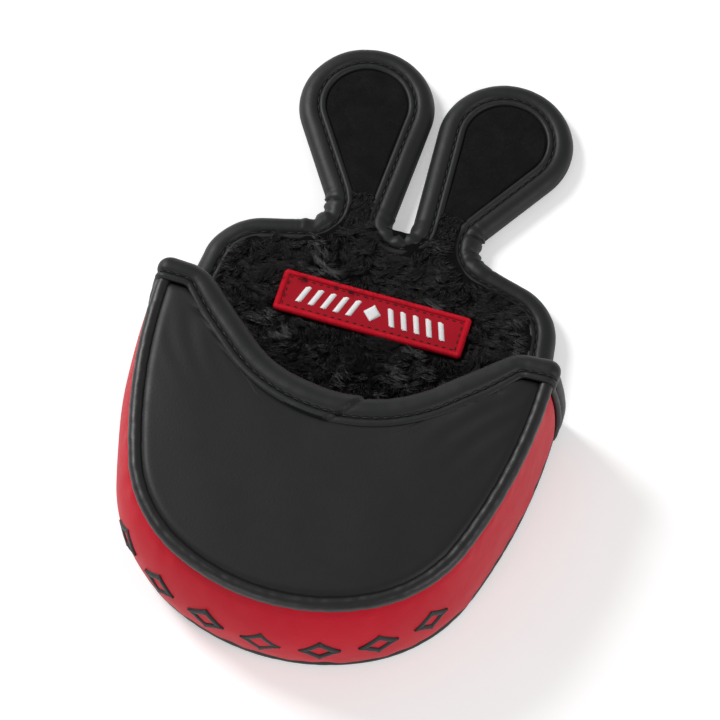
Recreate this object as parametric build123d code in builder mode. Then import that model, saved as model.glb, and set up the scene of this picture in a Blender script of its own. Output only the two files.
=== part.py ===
from build123d import *
from math import asin, atan2, cos, degrees, hypot, radians, sin, sqrt
import os

# Putter head cover for a mallet head: a padded pouch, a flap hinged at its mouth,
# and two magnetic ears that fold over the shaft onto the pouch's top.
# Millimetres. +X across the mouth, +Y from the toe towards the ears, +Z up.
# The cover lies open on a table (Z = 0), with its origin at the middle of its footprint.

# ---- overall sizes ----
cover_height = 38.0             # table to the top of the upper piping
rim_half_width = 57.5           # centre of the cover to the line of the upper piping
wall_bulge = 6.4                # how far the wall stands outside the piping line
bulge_z = 16.0                  # height of the wall's fullest line
flap_length = 45.0              # front of the mouth to the line of the ears' fold
ear_length = 59.5               # that line to the tips of the ears

# ---- plan of the pouch: the line that the upper piping follows ----
side_run = 8.5                  # straight run behind the mouth
flank_radius = 164.0
flank_turn = 19.6               # degrees
corner_radius = 41.5
corner_turn = 43.4              # degrees

# ---- layers ----
skin_t = 1.2
foam_t = 2.2
lining_t = 3.6
binding_t = 1.0                 # leather of the binding, folded round every free edge
binding_width = 8.0
mouth_binding_width = 9.6       # along the crescent
piping_proud = 0.6              # upper piping above the top panel

# ---- piping ----
top_piping_r = 2.1
base_piping_r = 1.5
piping_skin_t = 0.7
base_piping_out = 3.3           # base piping outside the line of the upper piping
wall_tuck = 0.5                 # wall's top edge inside the upper piping's outer side

# ---- mouth: crescent cut in the top panel ----
crescent_depth = 27.9
crescent_radius = 41.0
peak_radius = 12.0              # rounded peaks at each side of the crescent
peak_half_width = 51.6

# ---- flap ----
fold_ahead = 2.75               # fold line ahead of the mouth's front
flap_root_half_width = 59.0
flap_root_behind = 10.0         # how far the flap's root is let in behind the mouth
shoulder_radius = 18.8
shoulder_half_width = 36.3      # centre of the shoulder's arc
shoulder_behind = 26.6          # the same, behind the ears' fold
neck_radius = 6.5
neck_half_width = 30.9
neck_ahead = 1.2                # centres of the necks' arcs, ahead of the ears' fold
notch_radius = 3.0

# ---- ears ----
ear_radius = 21.0
ear_half_width = 22.2
ear_pad_t = 2.0
ear_rim_t = 6.0                 # the ear's bound edge, from its outer to its inner face
pad_seam_ahead = 5.5            # lower seam of the velvet pad, ahead of the ears' fold
fleece_tab_t = 3.0

# ---- magnets ----
magnet_r = 6.0
magnet_t = 2.0
magnet_ahead = 4.5              # magnet ahead of the middle of the ear's disc
magnet_clearance = 0.1          # round the magnet and below it

# ---- patch on the flap ----
patch_width = 58.0
patch_depth = 13.7
patch_reach = 13.2              # its middle, ahead of the mouth's front
patch_corner_r = 1.2
patch_t = 0.8
patch_border_w = 1.3
patch_border_t = 1.3
emblem_t = 0.4
emblem_bar_w = 1.6
emblem_bar_h = 5.6
emblem_bar_lean = 20.0          # degrees
emblem_pitch = 3.9
emblem_bars_per_side = 5
emblem_diamond = 3.8

# ---- stitched lozenges round the toe ----
lozenge_count = 7               # an odd number, one at the middle of the toe
lozenge_pitch = 17.0            # along the outside of the wall
lozenge_width = 12.0
lozenge_height = 10.5
lozenge_stroke = 1.9
stitch_t = 0.5
lozenge_z = 17.0                # middle of the lozenges above the table

# ---- running clearances ----
fold_gap = 0.15                 # each side of a fold line
closing_gap = 1.0               # ear tip over the top panel when closed

# ---- heights that follow ----
top_piping_z = cover_height - top_piping_r
base_piping_z = base_piping_r
stack_t = skin_t + foam_t + lining_t
floor_z = stack_t                               # lining's face on the pouch's floor
lining_z = skin_t + foam_t                      # underside of the floor's lining
panel_top_z = cover_height - piping_proud
panel_skin_z = panel_top_z - skin_t
panel_foam_z = top_piping_z - top_piping_r      # the panel's foam fills the upper piping's depth
ceiling_z = panel_foam_z - lining_t             # lining's face under the top panel

# ---- plan arcs that follow: the toe's arc is centred on X = 0 ----
full_turn = flank_turn + corner_turn
flank_cos = cos(radians(flank_turn))
flank_sin = sin(radians(flank_turn))
full_cos = cos(radians(full_turn))
full_sin = sin(radians(full_turn))
toe_radius = corner_radius + (
    rim_half_width - flank_radius + (flank_radius - corner_radius) * flank_cos
) / full_cos
corner_drop = (flank_radius - corner_radius) * flank_sin
toe_rise = (toe_radius - corner_radius) * full_sin
pouch_length = side_run + corner_drop - toe_rise + toe_radius + wall_bulge
tongue_length = flap_length + ear_length

# ---- places along Y that follow, with the footprint's middle on Y = 0 ----
mouth_y = (pouch_length - tongue_length) / 2    # front of the mouth
flank_y = mouth_y - side_run
corner_y = flank_y - corner_drop
toe_centre_y = corner_y + toe_rise
flank_x = rim_half_width - flank_radius
corner_x = (toe_radius - corner_radius) * full_cos
binding_y = mouth_y - binding_width             # back edge of the mouth's binding
wall_front_y = mouth_y - binding_t
fold_y = mouth_y + fold_ahead
ear_fold_y = mouth_y + flap_length
ear_centre_y = mouth_y + tongue_length - ear_radius
shoulder_y = ear_fold_y - shoulder_behind
neck_y = ear_fold_y + neck_ahead
pad_seam_y = ear_fold_y + pad_seam_ahead
magnet_y = ear_centre_y + magnet_ahead
patch_y = mouth_y + patch_reach

# ---- closed shape: the flap stands at 90 degrees and the ears lean on past it ----
closed_hinge_z = floor_z + ear_fold_y - fold_y
closed_drop = closed_hinge_z + (floor_z - ear_rim_t) - cover_height - closing_gap
ear_lean = degrees(asin(closed_drop / ear_length))
keeper_y = fold_y - (magnet_y - ear_fold_y) * cos(radians(ear_lean))

# ---- section of the wall: one arc over the upper piping, the bulge and the base piping ----
wall_arc = ThreePointArc(
    (top_piping_r - wall_tuck, top_piping_z - top_piping_r),
    (wall_bulge, bulge_z),
    (base_piping_out + base_piping_r, base_piping_z + base_piping_r),
)
wall_radius = wall_arc.radius
wall_centre = (wall_arc.arc_center.X, wall_arc.arc_center.Y)

os.makedirs("parts", exist_ok=True)


def finish(piece, name):
    """Label a finished sub-part and write it."""
    piece.part.label = name
    export_step(piece.part, f"parts/{name}.step")


def draw_rim(outset, front_y):
    """Draw the piping's line round the pouch, moved outwards, from the right mouth to the left."""
    Line((rim_half_width + outset, front_y), (rim_half_width + outset, flank_y))
    CenterArc((flank_x, flank_y), flank_radius + outset, 0, -flank_turn)
    CenterArc((corner_x, corner_y), corner_radius + outset, -flank_turn, -corner_turn)
    CenterArc((0, toe_centre_y), toe_radius + outset, -full_turn, 2 * full_turn - 180)
    CenterArc((-corner_x, corner_y), corner_radius + outset, full_turn - 180, -corner_turn)
    CenterArc((-flank_x, flank_y), flank_radius + outset, flank_turn - 180, -flank_turn)
    Line((-rim_half_width - outset, flank_y), (-rim_half_width - outset, front_y))


def draw_belt(discs, inset):
    """Draw a line round a row of discs, moved inwards by inset.

    A disc is (x, y, radius). The line turns left round a positive radius and right
    round a negative one, and keeps the material on its left.
    """
    rows = [(Vector(x, y), radius - inset) for x, y, radius in discs]
    runs = []
    for (start, start_r), (end, end_r) in zip(rows, rows[1:]):
        span = end - start
        heading = atan2(span.Y, span.X) + asin((start_r - end_r) / span.length)
        left = Vector(-sin(heading), cos(heading))
        runs.append((start - left * start_r, end - left * end_r, degrees(heading)))
    for start, end, _ in runs:
        Line(start, end)
    for (_, end, heading), (_, _, next_heading), (_, radius) in zip(runs, runs[1:], rows[1:]):
        turn = (next_heading - heading) % 360
        if radius < 0:
            turn -= 360
        tangent = (cos(radians(heading)), sin(radians(heading)))
        JernArc(start=end, tangent=tangent, radius=abs(radius), arc_size=turn)
    return runs[0][0], runs[-1][1]


mouth_discs = [
    (2 * rim_half_width, mouth_y, 0),
    (peak_half_width, mouth_y - peak_radius, peak_radius),
    (0, mouth_y - crescent_depth + crescent_radius, -crescent_radius),
    (-peak_half_width, mouth_y - peak_radius, peak_radius),
    (-2 * rim_half_width, mouth_y, 0),
]

tongue_discs = [
    (flap_root_half_width, mouth_y - flap_root_behind, 0),
    (shoulder_half_width, shoulder_y, shoulder_radius),
    (neck_half_width, neck_y, -neck_radius),
    (ear_half_width, ear_centre_y, ear_radius),
    (0, neck_y, -notch_radius),
    (-ear_half_width, ear_centre_y, ear_radius),
    (-neck_half_width, neck_y, -neck_radius),
    (-shoulder_half_width, shoulder_y, shoulder_radius),
    (-flap_root_half_width, mouth_y - flap_root_behind, 0),
]


def pouch_plan(outset):
    """Plan of the pouch inside the piping's line, moved outwards, closed across the mouth."""
    half_width = rim_half_width + outset
    with BuildSketch() as plan:
        with BuildLine():
            draw_rim(outset, mouth_y)
            Line((-half_width, mouth_y), (half_width, mouth_y))
        make_face()
    return plan.sketch


def behind_mouth(inset):
    """Everything behind the crescent's edge, moved inwards."""
    far_y = mouth_y - 2 * pouch_length
    with BuildSketch() as plan:
        with BuildLine():
            first, last = draw_belt(mouth_discs, inset)
            Polyline(last, (last.X, far_y), (first.X, far_y), first)
        make_face()
    return plan.sketch


def tongue_plan(inset, y_from, y_to, x_from=-pouch_length, x_to=pouch_length):
    """Plan of the flap and ears, moved inwards, kept inside a box."""
    with BuildSketch() as plan:
        with BuildLine():
            first, last = draw_belt(tongue_discs, inset)
            Line(last, first)
        make_face()
        with Locations(((x_from + x_to) / 2, (y_from + y_to) / 2)):
            Rectangle(x_to - x_from, y_to - y_from, mode=Mode.INTERSECT)
    return plan.sketch


def top_plan(outset, mouth_inset):
    """Plan of the top panel inside the piping and behind the crescent."""
    with BuildSketch() as plan:
        add(pouch_plan(outset))
        add(behind_mouth(mouth_inset), mode=Mode.INTERSECT)
    return plan.sketch


def base_plan(outset):
    """Plan of the pouch's base, run on past the mouth to the flap's fold."""
    with BuildSketch() as plan:
        add(pouch_plan(outset))
        add(tongue_plan(0, mouth_y - flap_root_behind / 2, fold_y - fold_gap))
    return plan.sketch


def add_slab(plan, z_from, z_to, mode=Mode.ADD):
    """Raise a plan between two heights in the sub-part being built."""
    extrude(plan.moved(Location((0, 0, z_from))), amount=z_to - z_from, mode=mode)


def add_pinched_skin(inner, whole, z_inner, z_edge):
    """Raise a skin that steps from its own height to a pinched one under the binding."""
    add_slab(whole, z_edge, z_edge + skin_t)
    add_slab(inner, min(z_inner, z_edge), max(z_inner, z_edge) + skin_t, mode=Mode.SUBTRACT)
    add_slab(inner, z_inner, z_inner + skin_t)


# ---- the pouch's top panel: full layers inside, pinched thinner under the binding ----
top_inner = top_plan(-top_piping_r, mouth_binding_width)
top_whole = top_plan(-top_piping_r, binding_t)
keeper_places = [(side * ear_half_width, keeper_y) for side in (-1, 1)]

with BuildPart() as top_skin:
    add_pinched_skin(top_inner, top_whole, panel_skin_z, panel_skin_z - binding_t)
finish(top_skin, "top_skin")

with BuildPart() as top_foam:
    add_slab(top_inner, panel_foam_z, panel_skin_z)
    add_slab(top_whole, panel_foam_z, panel_skin_z - binding_t)
    with BuildSketch(Plane.XY.offset(panel_foam_z)):
        with Locations(keeper_places):
            Circle(magnet_r + magnet_clearance)
    extrude(amount=panel_skin_z - panel_foam_z, mode=Mode.SUBTRACT)
finish(top_foam, "top_foam")

with BuildPart() as top_lining:
    add_slab(top_plan(0, mouth_binding_width), ceiling_z, panel_foam_z)
    add_slab(top_plan(0, binding_t), ceiling_z + binding_t, panel_foam_z)
finish(top_lining, "top_lining")

for side, place in zip(("left", "right"), keeper_places):
    with BuildPart() as keeper_magnet:
        with BuildSketch(Plane.XY.offset(panel_foam_z + magnet_clearance)):
            with Locations(place):
                Circle(magnet_r)
        extrude(amount=magnet_t)
    finish(keeper_magnet, f"{side}_keeper_magnet")

# ---- the pouch's wall: its layers are swept round the toe ----
mouth_plane = Plane(origin=(rim_half_width, mouth_y, 0), x_dir=(1, 0, 0), z_dir=(0, -1, 0))
wall_plane = mouth_plane.offset(binding_t)

with BuildLine() as rim:
    draw_rim(0, wall_front_y)


def wall_ring(outer_depth, inner_depth, z_from, z_to):
    """Section of a layer of the wall, by its depth below the wall's outer face."""
    with BuildSketch() as section:
        with Locations(wall_centre):
            Circle(wall_radius - outer_depth)
            Circle(wall_radius - inner_depth, mode=Mode.SUBTRACT)
        with Locations((wall_bulge, (z_from + z_to) / 2)):
            Rectangle(2 * wall_radius, z_to - z_from, mode=Mode.INTERSECT)
    return section.sketch


def wall_skin_ring(outer_depth):
    """Section of the wall's skin, outside the pipings' line and cut to seat on them."""
    with BuildSketch() as section:
        add(wall_ring(outer_depth, skin_t, base_piping_z, top_piping_z))
        with Locations((wall_radius, wall_centre[1])):
            Rectangle(2 * wall_radius, 2 * wall_radius, mode=Mode.INTERSECT)
        with Locations((0, top_piping_z)):
            Circle(top_piping_r, mode=Mode.SUBTRACT)
        with Locations((base_piping_out, base_piping_z)):
            Circle(base_piping_r, mode=Mode.SUBTRACT)
    return section.sketch


wall_sections = {
    "wall_skin": wall_skin_ring(0),
    "wall_foam": wall_ring(skin_t, skin_t + foam_t, floor_z, ceiling_z),
    "wall_lining": wall_ring(skin_t + foam_t, stack_t, floor_z, ceiling_z),
}
for name, section in wall_sections.items():
    with BuildPart() as wall_layer:
        with BuildSketch(wall_plane):
            add(section)
        sweep(path=rim.line)
    finish(wall_layer, name)

# ---- pipings: a cord in a leather cover, caught under the mouth's binding ----
pipings = {
    "top_piping": (0, top_piping_z, top_piping_r),
    "base_piping": (base_piping_out, base_piping_z, base_piping_r),
}
for name, (out, height, radius) in pipings.items():
    for layer, outer_r, inner_r in (
        ("cover", radius, radius - piping_skin_t),
        ("cord", radius - piping_skin_t, 0),
    ):
        with BuildPart() as piping_layer:
            with BuildSketch(wall_plane):
                with Locations((out, height)):
                    Circle(outer_r)
                    if inner_r > 0:
                        Circle(inner_r, mode=Mode.SUBTRACT)
            sweep(path=rim.line)
            split(bisect_by=Plane.XZ.offset(-binding_y), keep=Keep.TOP)
        finish(piping_layer, f"{name}_{layer}")

# ---- the mouth's binding: along the crescent, over the corners and down the wall's ends ----
with BuildPart() as mouth_binding:
    add_slab(top_plan(-top_piping_r, 0), ceiling_z, cover_height)
    add_slab(top_inner, ceiling_z, cover_height, mode=Mode.SUBTRACT)
    add_slab(top_whole, ceiling_z + binding_t, panel_skin_z + skin_t - binding_t, mode=Mode.SUBTRACT)
    with BuildSketch(mouth_plane):
        add(wall_skin_ring(-binding_t))
        add(wall_ring(-binding_t, stack_t + binding_t, floor_z, ceiling_z))
        for out, height, radius in pipings.values():
            with Locations((out, height)):
                Circle(radius)
    extrude(amount=binding_width)
    with BuildSketch(wall_plane):
        for section in wall_sections.values():
            add(section)
    extrude(amount=binding_width, mode=Mode.SUBTRACT)
    split(bisect_by=Plane.YZ, keep=Keep.TOP)
    mirror(about=Plane.YZ)
finish(mouth_binding, "mouth_binding")

# ---- the pouch's base ----
base_outset = base_piping_out - base_piping_r
lining_drop = wall_centre[1] - lining_z
lining_outset = wall_centre[0] + sqrt((wall_radius - skin_t) ** 2 - lining_drop ** 2)
base_layers = {
    "base_skin": (base_outset, 0, skin_t),
    "base_foam": (base_outset, skin_t, lining_z),
    "base_lining": (lining_outset, lining_z, floor_z),
}
for name, (outset, z_from, z_to) in base_layers.items():
    with BuildPart() as base_layer:
        add_slab(base_plan(outset), z_from, z_to)
    finish(base_layer, name)


# ---- stitched lozenges round the toe ----
def wall_station(run):
    """Plane on the wall's outside, a run along it to the right of the middle of the toe."""
    past_toe = run - (toe_radius + wall_bulge) * radians(90 - full_turn)
    if past_toe < 0:
        centre, radius = (0, toe_centre_y), toe_radius
        turn = run / (toe_radius + wall_bulge)
    else:
        centre, radius = (corner_x, corner_y), corner_radius
        turn = radians(90 - full_turn) + past_toe / (corner_radius + wall_bulge)
    outward = Vector(sin(turn), -cos(turn))
    origin = Vector(*centre, lozenge_z) + outward * (radius + wall_bulge)
    return Plane(origin=origin, x_dir=(cos(turn), sin(turn), 0), z_dir=outward)


# the right half of the row, from the middle lozenge, then mirrored
stations = [wall_station(number * lozenge_pitch) for number in range(lozenge_count // 2 + 1)]
half_w, half_h = lozenge_width / 2, lozenge_height / 2
stroke = lozenge_stroke * hypot(half_w, half_h) / half_h    # the stroke's width along X

with BuildPart() as stitch_layer:
    with BuildSketch(wall_plane):
        add(wall_ring(-stitch_t, 0, lozenge_z - lozenge_height, lozenge_z + lozenge_height))
    sweep(path=rim.line)
    split(bisect_by=Plane.YZ)

with BuildPart() as wall_embroidery:
    with BuildSketch(*stations):
        Polygon((half_w, 0), (0, half_h), (-half_w, 0), (0, -half_h))
        inner_w = half_w - stroke
        inner_h = half_h * inner_w / half_w
        Polygon((inner_w, 0), (0, inner_h), (-inner_w, 0), (0, -inner_h), mode=Mode.SUBTRACT)
    extrude(amount=2 * stack_t, both=True)
    split(bisect_by=Plane.YZ)
    add(stitch_layer.part, mode=Mode.INTERSECT)
    mirror(about=Plane.YZ)
finish(wall_embroidery, "wall_embroidery")


# ---- the flap ----
def flap_plan(inset):
    """Plan of the flap, moved inwards from its free edge."""
    return tongue_plan(inset, fold_y + fold_gap, ear_fold_y - fold_gap)


flap_inner = flap_plan(binding_width)
flap_whole = flap_plan(binding_t)

with BuildPart() as flap_skin:
    add_pinched_skin(flap_inner, flap_whole, 0, binding_t)
finish(flap_skin, "flap_skin")

with BuildPart() as flap_foam:
    add_slab(flap_inner, skin_t, lining_z)
    add_slab(flap_whole, binding_t + skin_t, lining_z)
finish(flap_foam, "flap_foam")

with BuildPart() as flap_lining:
    add_slab(flap_inner, lining_z, floor_z)
    add_slab(flap_whole, lining_z, floor_z - binding_t)
finish(flap_lining, "flap_lining")

with BuildPart() as flap_binding:
    add_slab(flap_plan(0), 0, floor_z)
    add_slab(flap_inner, 0, floor_z, mode=Mode.SUBTRACT)
    add_slab(flap_whole, binding_t, floor_z - binding_t, mode=Mode.SUBTRACT)
finish(flap_binding, "flap_binding")

# ---- the patch sewn on the flap's lining ----
cloth_width = patch_width - 2 * patch_border_w
cloth_depth = patch_depth - 2 * patch_border_w

with BuildPart() as patch_cloth:
    with BuildSketch(Plane.XY.offset(floor_z)):
        with Locations((0, patch_y)):
            Rectangle(cloth_width, cloth_depth)
    extrude(amount=patch_t)
finish(patch_cloth, "patch_cloth")

with BuildPart() as patch_border:
    with BuildSketch(Plane.XY.offset(floor_z)):
        with Locations((0, patch_y)):
            RectangleRounded(patch_width, patch_depth, patch_corner_r)
            Rectangle(cloth_width, cloth_depth, mode=Mode.SUBTRACT)
    extrude(amount=patch_border_t)
finish(patch_border, "patch_border")

with BuildPart() as patch_emblem:
    with BuildSketch(Plane.XY.offset(floor_z + patch_t)):
        with Locations((0, patch_y)):
            Rectangle(emblem_diamond, emblem_diamond, rotation=45)
        for number in range(emblem_bars_per_side):
            bar_x = (number + 1.5) * emblem_pitch
            slant = emblem_bar_h / 2 * sin(radians(emblem_bar_lean))
            for side in (-1, 1):
                with Locations((side * bar_x, patch_y)):
                    Polygon(
                        (side * (slant - emblem_bar_w / 2), -emblem_bar_h / 2),
                        (side * (slant + emblem_bar_w / 2), -emblem_bar_h / 2),
                        (side * (emblem_bar_w / 2 - slant), emblem_bar_h / 2),
                        (side * (-emblem_bar_w / 2 - slant), emblem_bar_h / 2),
                    )
    extrude(amount=emblem_t)
finish(patch_emblem, "patch_emblem")

# ---- the ears, each folding on its own ----
for side, x_from, x_to in (("left", -pouch_length, 0), ("right", 0, pouch_length)):
    ear_box = (ear_fold_y + fold_gap, ear_fold_y + 2 * ear_length, x_from, x_to)
    pad_box = (pad_seam_y, ear_fold_y + 2 * ear_length, x_from, x_to)
    tab_box = (ear_fold_y + fold_gap, pad_seam_y, x_from, x_to)
    ear_inner = tongue_plan(binding_width, *ear_box)
    ear_whole = tongue_plan(binding_t, *ear_box)
    magnet_place = (ear_half_width if side == "right" else -ear_half_width, magnet_y)
    rim_z = ear_rim_t - binding_t

    with BuildPart() as ear_skin:
        add_pinched_skin(ear_inner, ear_whole, 0, binding_t)
    finish(ear_skin, f"{side}_ear_skin")

    with BuildPart() as ear_foam:
        add_slab(ear_inner, skin_t, lining_z)
        add_slab(ear_whole, binding_t + skin_t, lining_z)
        with BuildSketch(Plane.XY.offset(skin_t)):
            with Locations(magnet_place):
                Circle(magnet_r + magnet_clearance)
        extrude(amount=foam_t, mode=Mode.SUBTRACT)
    finish(ear_foam, f"{side}_ear_foam")

    with BuildPart() as ear_magnet:
        with BuildSketch(Plane.XY.offset(skin_t + magnet_clearance)):
            with Locations(magnet_place):
                Circle(magnet_r)
        extrude(amount=magnet_t)
    finish(ear_magnet, f"{side}_ear_magnet")

    with BuildPart() as ear_pad:
        add_slab(tongue_plan(binding_width, *pad_box), lining_z, lining_z + ear_pad_t)
        add_slab(tongue_plan(binding_t, *pad_box), lining_z, rim_z)
    finish(ear_pad, f"{side}_ear_pad")

    with BuildPart() as ear_fleece:
        add_slab(tongue_plan(binding_width, *tab_box), lining_z, lining_z + fleece_tab_t)
        add_slab(tongue_plan(binding_t, *tab_box), lining_z, rim_z)
    finish(ear_fleece, f"{side}_ear_fleece")

    with BuildPart() as ear_binding:
        add_slab(tongue_plan(0, *ear_box), 0, ear_rim_t)
        add_slab(ear_inner, 0, ear_rim_t, mode=Mode.SUBTRACT)
        add_slab(ear_whole, binding_t, rim_z, mode=Mode.SUBTRACT)
    finish(ear_binding, f"{side}_ear_binding")

# ---- the joints' places, for the cover's record ----
print(f"flap fold: y {fold_y:.3f}, z {floor_z:.3f}, 0 to 90 degrees")
print(f"ear folds: y {ear_fold_y:.3f}, z {floor_z:.3f}, 0 to {90 + ear_lean:.2f} degrees")
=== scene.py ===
from math import asin, atan2, ceil, cos, hypot, pi, radians, sin

import bpy
import numpy as np
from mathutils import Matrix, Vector


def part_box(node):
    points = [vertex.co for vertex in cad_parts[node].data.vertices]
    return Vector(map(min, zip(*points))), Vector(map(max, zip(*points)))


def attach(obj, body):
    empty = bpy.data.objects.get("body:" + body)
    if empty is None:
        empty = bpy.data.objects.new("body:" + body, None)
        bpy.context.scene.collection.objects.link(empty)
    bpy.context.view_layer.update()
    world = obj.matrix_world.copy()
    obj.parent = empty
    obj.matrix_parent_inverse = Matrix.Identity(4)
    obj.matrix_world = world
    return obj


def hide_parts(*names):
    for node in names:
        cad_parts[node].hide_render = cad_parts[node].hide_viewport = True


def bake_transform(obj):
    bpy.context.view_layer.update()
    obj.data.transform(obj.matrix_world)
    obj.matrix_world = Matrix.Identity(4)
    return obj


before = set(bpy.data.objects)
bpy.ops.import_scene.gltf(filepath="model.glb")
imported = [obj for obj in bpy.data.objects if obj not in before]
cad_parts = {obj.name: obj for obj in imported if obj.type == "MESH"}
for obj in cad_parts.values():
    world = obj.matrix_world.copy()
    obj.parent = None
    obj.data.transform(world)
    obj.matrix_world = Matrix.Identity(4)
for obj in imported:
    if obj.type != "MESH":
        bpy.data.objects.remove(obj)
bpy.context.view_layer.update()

# Putter head cover: the leather, plush, velvet, bindings and stitching over the part's frame.
# Sizes are in millimetres until a mesh is made; the meshes themselves are in metres.
MM = 0.001
UP = np.array((0.0, 0.0, 1.0))

# ---- sizes that the pieces share with the part ----
COVER_HEIGHT = 38.0
RIM_HALF_WIDTH = 57.5
MOUTH_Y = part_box("mouth_binding")[1].y / MM
FLANK_Y = MOUTH_Y - 8.5
FLANK_RADIUS = 164.0
FLANK_TURN = 19.6
CORNER_RADIUS = 41.5
FULL_TURN = FLANK_TURN + 43.4
TOE_RADIUS = CORNER_RADIUS + (
    RIM_HALF_WIDTH - FLANK_RADIUS + (FLANK_RADIUS - CORNER_RADIUS) * cos(radians(FLANK_TURN))
) / cos(radians(FULL_TURN))
CORNER_X = (TOE_RADIUS - CORNER_RADIUS) * cos(radians(FULL_TURN))
CORNER_Y = FLANK_Y - (FLANK_RADIUS - CORNER_RADIUS) * sin(radians(FLANK_TURN))
TOE_CENTRE_Y = CORNER_Y + (TOE_RADIUS - CORNER_RADIUS) * sin(radians(FULL_TURN))
TOE_Y = TOE_CENTRE_Y - TOE_RADIUS
EAR_FOLD_Y = MOUTH_Y + 45.0
EAR_X = 22.2
EAR_Y = MOUTH_Y + 83.5
MAGNET_Y = EAR_Y + 4.5
FLOOR_Z = 7.0
FOAM_Z = 3.4
CEILING_Z = 30.2
STACK = 7.0                     # leather, foam and plush together
TOP_PIPING_Z = 35.9
TOP_PIPING_R = 2.1
BASE_PIPING_Z = 1.5
BASE_PIPING_R = 1.5
BASE_PIPING_OUT = 3.3
PATCH_Y = MOUTH_Y + 13.2
PATCH_WIDTH, PATCH_DEPTH = 58.0, 13.7
PATCH_BORDER = 0.9
BAR_PITCH, BARS_PER_SIDE, BAR_HALF_WIDTH, EMBLEM_HALF, DIAMOND_HALF = 3.9, 5, 0.8, 2.8, 2.7
LOZENGE_PITCH, LOZENGES_PER_SIDE, LOZENGE_Z = 17.0, 3, 17.0
LOZENGE_HALF_WIDTH, LOZENGE_HALF_HEIGHT, LOZENGE_STROKE = 6.0, 5.25, 1.9

# A row of discs that an edge runs round: x, y, radius. It turns left round a positive
# radius and right round a negative one, with the material on its left.
MOUTH_DISCS = [
    (115.0, MOUTH_Y, 0.0),
    (51.6, MOUTH_Y - 12.0, 12.0),
    (0.0, MOUTH_Y + 13.1, -41.0),
    (-51.6, MOUTH_Y - 12.0, 12.0),
    (-115.0, MOUTH_Y, 0.0),
]
TONGUE_DISCS = [
    (59.0, MOUTH_Y - 10.0, 0.0),
    (36.3, EAR_FOLD_Y - 26.6, 18.8),
    (30.9, EAR_FOLD_Y + 1.2, -6.5),
    (EAR_X, EAR_Y, 21.0),
    (0.0, EAR_FOLD_Y + 1.2, -3.0),
    (-EAR_X, EAR_Y, 21.0),
]


# ---- lines that the pieces follow ----
def rim_line(step, front_y):
    """Stations on the upper piping's line, from the mouth's right round the toe to its left.

    Each row is x, y and the outward direction.
    """
    rows = [(RIM_HALF_WIDTH, y, 1.0, 0.0) for y in np.arange(front_y, FLANK_Y, -step)]
    for x, y, radius, start, end in (
        (RIM_HALF_WIDTH - FLANK_RADIUS, FLANK_Y, FLANK_RADIUS, 0, -FLANK_TURN),
        (CORNER_X, CORNER_Y, CORNER_RADIUS, -FLANK_TURN, -FULL_TURN),
        (0.0, TOE_CENTRE_Y, TOE_RADIUS, -FULL_TURN, -90),
    ):
        count = ceil(radians(start - end) * radius / step)
        for angle in np.radians(np.linspace(start, end, count, endpoint=False)):
            rows.append((x + radius * cos(angle), y + radius * sin(angle), cos(angle), sin(angle)))
    half = np.array(rows)
    toe = np.array([[0.0, TOE_Y, 0.0, -1.0]])
    return np.vstack([half, toe, half[::-1] * (-1, 1, -1, 1)])


def belt_line(discs, step):
    """Stations along an edge round a row of discs: x, y, direction into the material, bend."""
    runs = []
    for (ax, ay, ar), (bx, by, br) in zip(discs, discs[1:]):
        heading = atan2(by - ay, bx - ax) + asin((ar - br) / hypot(bx - ax, by - ay))
        runs.append((ax, ay, ar, bx, by, br, heading))
    rows = []
    for number, (ax, ay, ar, bx, by, br, heading) in enumerate(runs):
        left = np.array((-sin(heading), cos(heading)))
        start, end = np.array((ax, ay)) - left * ar, np.array((bx, by)) - left * br
        count = max(2, ceil(np.linalg.norm(end - start) / step))
        for share in np.linspace(0, 1, count, endpoint=False):
            rows.append((*(start + (end - start) * share), *left, 0.0))
        if number + 1 < len(runs):
            turn = (runs[number + 1][6] - heading) % (2 * pi)
            if br < 0:
                turn -= 2 * pi
            count = max(6, ceil(abs(turn) * (abs(br) + (4 if br < 0 else 0)) / step))
            for angle in heading + turn * np.linspace(0, 1, count, endpoint=False):
                left = np.array((-sin(angle), cos(angle)))
                rows.append((*(np.array((bx, by)) - left * br), *left, 1 / br))
    return np.array(rows)


def run_of(points):
    """Length along a row of points."""
    steps = np.linalg.norm(np.diff(points, axis=0), axis=1)
    return np.concatenate([[0.0], np.cumsum(steps)])


def at_runs(columns, run, wanted):
    """The columns of a row of stations, read at the wanted lengths along it."""
    return np.stack([np.interp(wanted, run, columns[:, k]) for k in range(columns.shape[1])], 1)


def ripple(run, size, seed):
    """Smooth uneven waves along a length, from about -1 to 1, size apart."""
    draw = np.random.default_rng(seed)
    total = np.zeros_like(run, dtype=float)
    for share in (0.71, 1.0, 1.37, 1.93):
        total += np.sin(2 * pi * run / (size * share) + draw.uniform(0, 2 * pi))
    return total / 2.4


def mottle(x, y, size, seed):
    """Smooth uneven waves over a surface, from about -1 to 1, size apart."""
    draw = np.random.default_rng(seed)
    total = np.zeros(np.broadcast(x, y).shape)
    for _ in range(7):
        angle, share, phase = draw.uniform(0, 2 * pi), draw.uniform(0.7, 1.6), draw.uniform(0, 2 * pi)
        total += np.sin(2 * pi * (x * cos(angle) + y * sin(angle)) / (size * share) + phase)
    return total / 3.2


def step_up(value, start, end):
    """0 before start, 1 after end, and a smooth rise between them."""
    share = np.clip((value - start) / (end - start), 0, 1)
    return share * share * (3 - 2 * share)


def circle_through(a, b, c):
    """Centre and radius of the circle through three points."""
    rows = np.array([(b[0] - a[0], b[1] - a[1]), (c[0] - a[0], c[1] - a[1])]) * 2
    sums = [b[0] ** 2 + b[1] ** 2 - a[0] ** 2 - a[1] ** 2, c[0] ** 2 + c[1] ** 2 - a[0] ** 2 - a[1] ** 2]
    x, y = np.linalg.solve(rows, sums)
    return x, y, hypot(a[0] - x, a[1] - y)


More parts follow.
